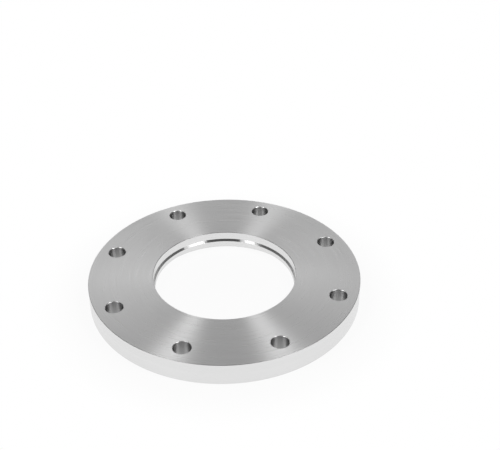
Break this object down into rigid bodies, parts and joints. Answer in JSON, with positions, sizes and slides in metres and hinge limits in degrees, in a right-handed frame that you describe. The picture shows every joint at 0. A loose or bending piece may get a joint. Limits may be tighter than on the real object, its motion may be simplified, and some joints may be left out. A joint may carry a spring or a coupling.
{
  "type": "plate flange",
  "caption": "Flat stainless steel ring flange with an even circle of bolt holes and a stepped bore: a socket above, a narrow throat and a conical seal seat below.",
  "frame": {"origin": "centre of the lower face, on the bore's axis", "axes": "+Z along the bore's axis, from the face with the seal seat to the face with the socket; the bolt holes straddle +X and +Y"},
  "size_m": [0.345, 0.345, 0.029],
  "materials": {
    "turned_steel": "bright stainless steel, fine-turned on the faces, smooth on the rim and in the bore"
  },
  "bodies": {
    "root": {"flange": "turned_steel"}
  },
  "joints": []
}
